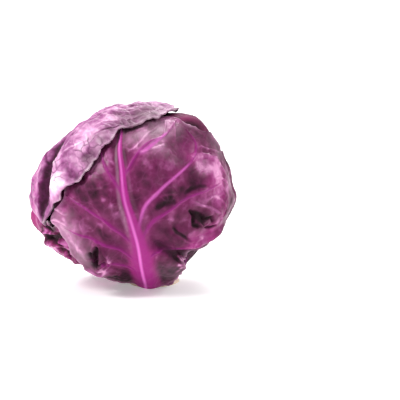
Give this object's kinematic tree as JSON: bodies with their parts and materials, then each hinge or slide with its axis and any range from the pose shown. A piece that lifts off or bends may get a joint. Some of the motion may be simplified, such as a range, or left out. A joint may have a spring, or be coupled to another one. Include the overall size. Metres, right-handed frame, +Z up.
{
  "type": "red cabbage head",
  "caption": "Round head of red cabbage on a short cut stem, wrapped in veined leaves with waved edges, a thick front midrib and a creased crown leaf.",
  "frame": {"origin": "centre of the stem's flat cut face, which the head stands on", "axes": "+Z up, out of the cut face through the head; -Y faces the front leaf's midrib; +X is the right of the head seen from the front, and its widest way"},
  "size_m": [0.1599, 0.1507, 0.1406],
  "materials": {
    "cut_stem": "moist cut stalk, cream with a pink rim",
    "packed_leaves": "smooth waxy leaf",
    "purple_leaf": "smooth waxy leaf, dark purple",
    "magenta_leaf": "smooth waxy leaf, magenta purple",
    "front_leaf": "waxy leaf, dark purple with bright magenta ribs",
    "lilac_leaf": "dry waxy leaf with a bloom, lilac with a fine net of veins"
  },
  "bodies": {
    "root": {"stem": "cut_stem", "inner_head": "packed_leaves", "leaf_inner_back": "purple_leaf", "leaf_inner_right": "magenta_leaf", "leaf_inner_left": "purple_leaf", "leaf_back": "purple_leaf", "leaf_low_right": "purple_leaf", "leaf_low_left": "magenta_leaf", "leaf_front": "front_leaf", "leaf_crown": "lilac_leaf"}
  },
  "joints": []
}
